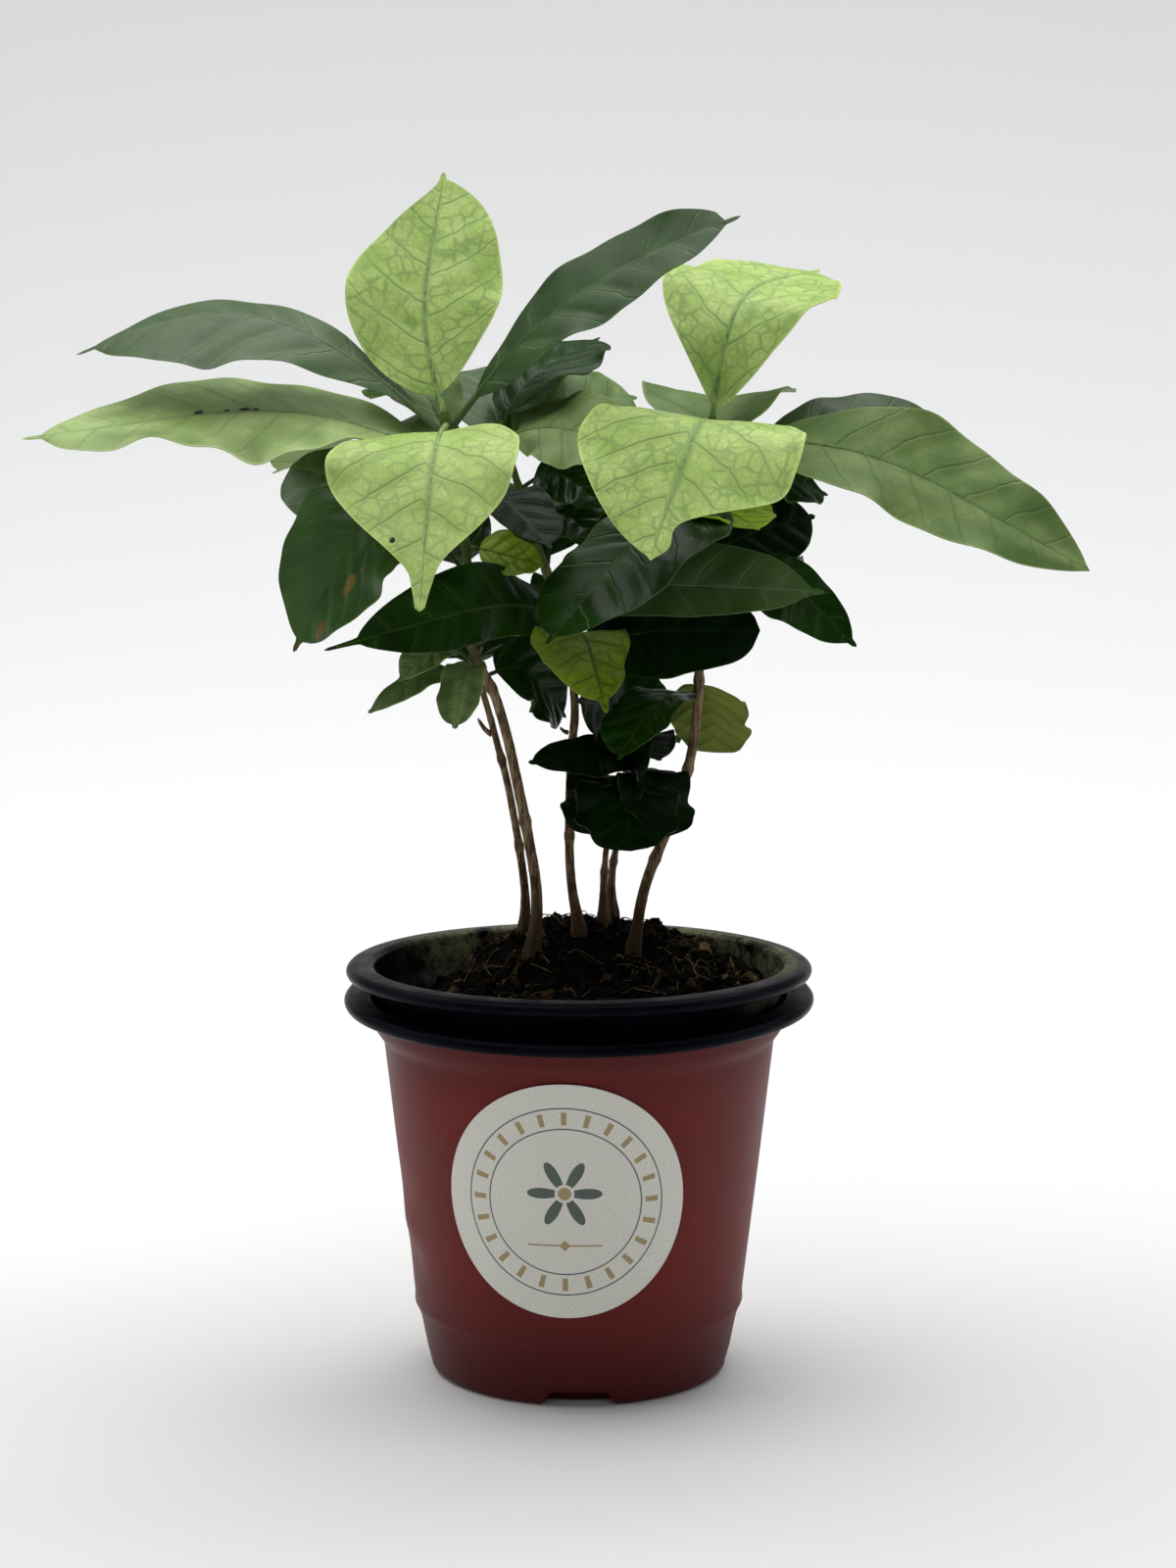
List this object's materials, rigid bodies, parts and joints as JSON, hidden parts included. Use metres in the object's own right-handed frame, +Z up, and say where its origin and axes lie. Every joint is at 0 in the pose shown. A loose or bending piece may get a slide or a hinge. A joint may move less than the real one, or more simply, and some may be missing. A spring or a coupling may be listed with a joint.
{
  "type": "potted coffee plant",
  "caption": "Young coffee plant: thin bare stems, glossy wavy leaves in opposite pairs, light at the top and dark below, in nested round nursery pots with a round paper label.",
  "frame": {"origin": "middle of the outer pot's flat underside", "axes": "+Z up, -Y the front with the label, +X to the right seen from the front"},
  "size_m": [0.2449, 0.1394, 0.2794],
  "materials": {
    "red_plastic": "satin",
    "black_plastic": "satin",
    "label_paper": "matte",
    "potting_mix": "matte",
    "young_bark": "matte",
    "dark_leaves": "satin",
    "light_leaves": "satin"
  },
  "bodies": {
    "root": {"outer_pot": "red_plastic", "inner_pot": "black_plastic", "label": "label_paper", "soil": "potting_mix", "stem_left": "young_bark", "stem_left_rear": "young_bark", "stem_middle": "young_bark", "stem_centre_front": "young_bark", "stem_centre_rear": "young_bark", "stem_right": "young_bark", "foliage_left_low": "dark_leaves", "foliage_left_top": "light_leaves", "foliage_left_rear": "dark_leaves", "foliage_middle_low": "dark_leaves", "foliage_middle_top": "light_leaves", "foliage_centre_front": "dark_leaves", "foliage_centre_rear": "dark_leaves", "foliage_right_low": "dark_leaves", "foliage_right_top": "light_leaves"}
  },
  "joints": []
}
